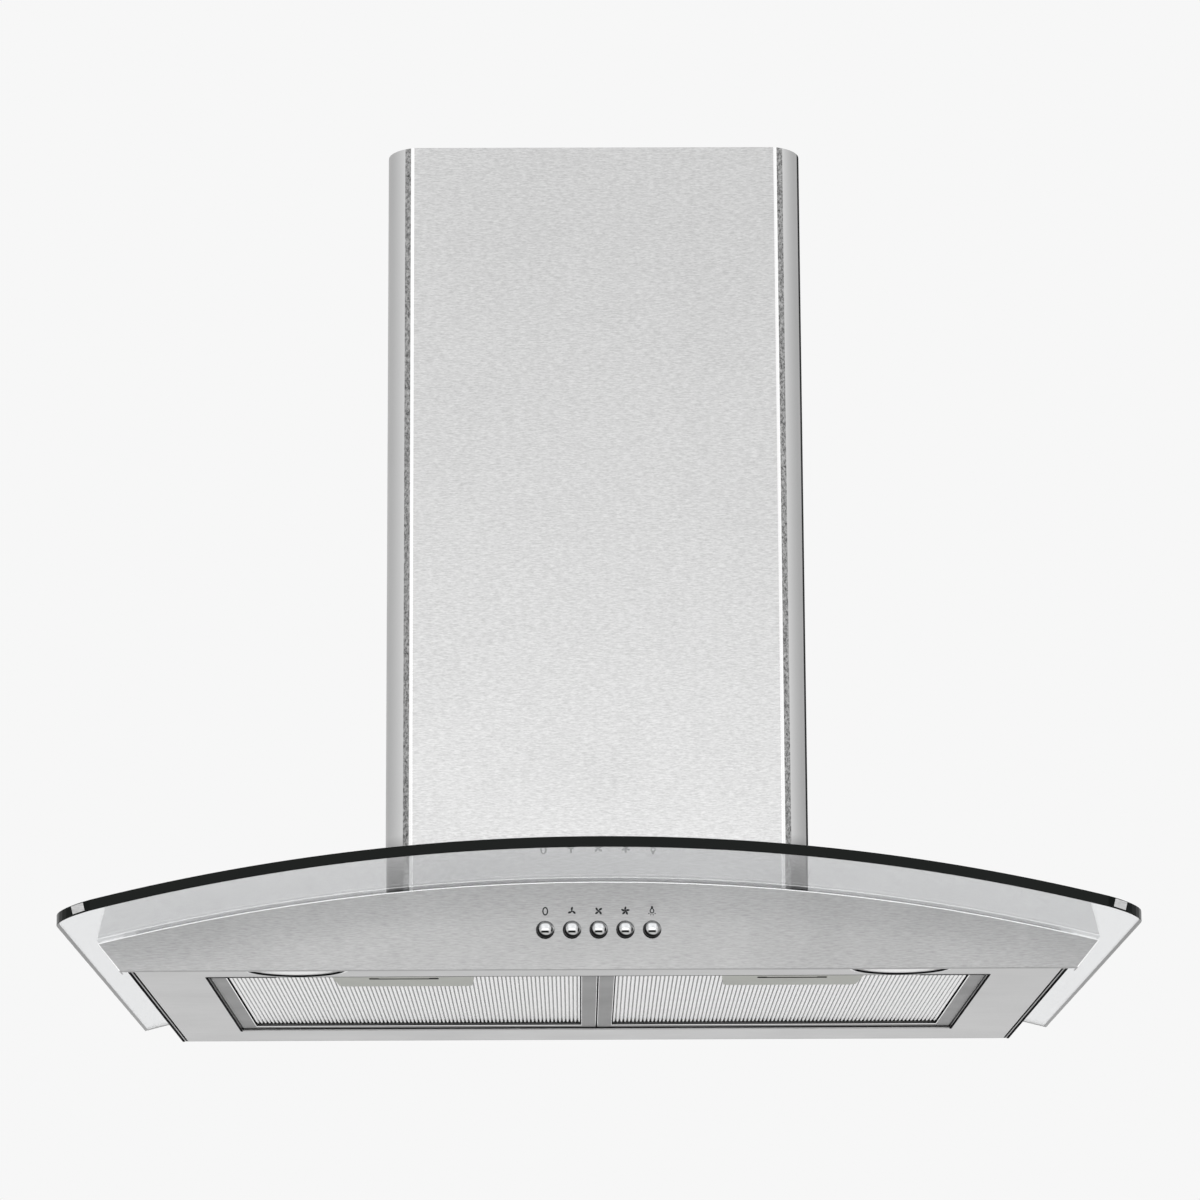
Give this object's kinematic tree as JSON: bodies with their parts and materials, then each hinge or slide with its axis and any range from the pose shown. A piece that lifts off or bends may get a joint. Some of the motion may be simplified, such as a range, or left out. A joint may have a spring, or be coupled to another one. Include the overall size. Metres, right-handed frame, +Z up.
{
  "type": "curved glass range hood",
  "caption": "Wall hood with an arched glass canopy, telescopic steel chimney, push buttons, downlights, drop-down grease filters, centrifugal blower and damped duct collar.",
  "frame": {"origin": "point on the wall side of the wall rail, midway between its screw holes, 240 mm above the crown of the glass's underside", "axes": "+X to the right of someone facing the hood, +Y into the kitchen wall, +Z up"},
  "size_m": [0.6, 0.5, 0.535],
  "materials": {
    "canopy_glass": "clear toughened glass with a polished, dark green edge",
    "foam_rubber": "black closed-cell foam strip",
    "brushed_steel": "brushed stainless steel with a fine straight grain",
    "galvanised_steel": "galvanised sheet, faint spangle",
    "zinc_steel": "zinc-plated turned steel",
    "chrome": "mirror chrome plate",
    "lamp_bezel": "satin chrome ring",
    "lamp_lens": "frosted clear lens over a reflector",
    "filter_frame": "pressed aluminium frame, satin",
    "filter_mesh": "bright ribbed aluminium mesh",
    "latch_plastic": "fine-grained beige-grey moulding",
    "black_plastic": "fine-grained black moulding",
    "grey_plastic": "grey fire-retardant moulding",
    "white_plastic": "white moulding"
  },
  "bodies": {
    "root": {"glass_canopy": "canopy_glass", "glass_gasket": "foam_rubber", "canopy_body": "brushed_steel", "underside_panel": "brushed_steel", "front_panel": "brushed_steel", "switch_bracket": "galvanised_steel", "switch_bank": "black_plastic", "lamp_bezel_left": "lamp_bezel", "lamp_lens_left": "lamp_lens", "lamp_module_left": "white_plastic", "lamp_bezel_right": "lamp_bezel", "lamp_lens_right": "lamp_lens", "lamp_module_right": "white_plastic", "blower_box": "galvanised_steel", "clamp_pad": "foam_rubber", "clamp_bar_left": "galvanised_steel", "clamp_bar_right": "galvanised_steel", "clamp_screw_1": "zinc_steel", "clamp_screw_2": "zinc_steel", "clamp_screw_3": "zinc_steel", "clamp_screw_4": "zinc_steel", "wall_rail": "galvanised_steel", "outlet_duct": "grey_plastic", "blower_scroll": "grey_plastic", "inlet_ring_left": "black_plastic", "inlet_ring_right": "black_plastic", "blower_motor": "galvanised_steel", "motor_bracket": "galvanised_steel", "motor_screw_1": "zinc_steel", "motor_screw_2": "zinc_steel", "motor_screw_3": "zinc_steel", "capacitor": "white_plastic", "capacitor_band": "galvanised_steel", "outlet_collar": "black_plastic", "damper_rod": "zinc_steel", "junction_box": "black_plastic", "junction_box_lid": "black_plastic", "cable_gland": "black_plastic", "lower_chimney_cover": "brushed_steel", "cover_clip_left": "galvanised_steel", "cover_clip_right": "galvanised_steel"},
    "button_off": {"button_off": "chrome"},
    "button_speed_1": {"button_speed_1": "chrome"},
    "button_speed_2": {"button_speed_2": "chrome"},
    "button_speed_3": {"button_speed_3": "chrome"},
    "button_light": {"button_light": "chrome"},
    "filter_left": {"filter_frame_left": "filter_frame", "filter_mesh_left": "filter_mesh"},
    "filter_right": {"filter_frame_right": "filter_frame", "filter_mesh_right": "filter_mesh"},
    "latch_left": {"filter_latch_left": "latch_plastic"},
    "latch_right": {"filter_latch_right": "latch_plastic"},
    "wheel": {"blower_wheel": "grey_plastic", "wheel_shaft": "zinc_steel", "wheel_nut": "zinc_steel"},
    "damper_rear": {"damper_flap_rear": "white_plastic"},
    "damper_front": {"damper_flap_front": "white_plastic"},
    "upper_chimney": {"upper_chimney_cover": "brushed_steel", "ceiling_bracket": "galvanised_steel"}
  },
  "joints": [
    {"name": "button_off_press", "type": "slide", "parent": "root", "child": "button_off", "axis": [0, 1, 0], "range_m": [0, 0.0035], "stiffness_N_per_m": 400, "springref_m": -0.002},
    {"name": "button_speed_1_press", "type": "slide", "parent": "root", "child": "button_speed_1", "axis": [0, 1, 0], "range_m": [0, 0.0035], "stiffness_N_per_m": 400, "springref_m": -0.002},
    {"name": "button_speed_2_press", "type": "slide", "parent": "root", "child": "button_speed_2", "axis": [0, 1, 0], "range_m": [0, 0.0035], "stiffness_N_per_m": 400, "springref_m": -0.002},
    {"name": "button_speed_3_press", "type": "slide", "parent": "root", "child": "button_speed_3", "axis": [0, 1, 0], "range_m": [0, 0.0035], "stiffness_N_per_m": 400, "springref_m": -0.002},
    {"name": "button_light_press", "type": "slide", "parent": "root", "child": "button_light", "axis": [0, 1, 0], "range_m": [0, 0.0035], "stiffness_N_per_m": 400, "springref_m": -0.002},
    {"name": "filter_left_swing", "type": "hinge", "parent": "root", "child": "filter_left", "pos_m": [-0.1153, -0.054, -0.284], "axis": [1, 0, 0], "range_deg": [0, 75]},
    {"name": "filter_right_swing", "type": "hinge", "parent": "root", "child": "filter_right", "pos_m": [0.1153, -0.054, -0.284], "axis": [1, 0, 0], "range_deg": [0, 75]},
    {"name": "latch_left_slide", "type": "slide", "parent": "filter_left", "child": "latch_left", "axis": [0, 1, 0], "range_m": [0, 0.006], "stiffness_N_per_m": 300, "springref_m": -0.003},
    {"name": "latch_right_slide", "type": "slide", "parent": "filter_right", "child": "latch_right", "axis": [0, 1, 0], "range_m": [0, 0.006], "stiffness_N_per_m": 300, "springref_m": -0.003},
    {"name": "wheel_spin", "type": "hinge", "parent": "root", "child": "wheel", "pos_m": [0, -0.138, -0.122], "axis": [1, 0, 0], "continuous": true},
    {"name": "damper_rear_swing", "type": "hinge", "parent": "root", "child": "damper_rear", "pos_m": [0, -0.105, 0.0789], "axis": [1, 0, 0], "range_deg": [0, 75]},
    {"name": "damper_front_swing", "type": "hinge", "parent": "root", "child": "damper_front", "pos_m": [0, -0.105, 0.0789], "axis": [-1, 0, 0], "range_deg": [0, 75]},
    {"name": "chimney_slide", "type": "slide", "parent": "root", "child": "upper_chimney", "axis": [0, 0, 1], "range_m": [0, 0.34]}
  ]
}
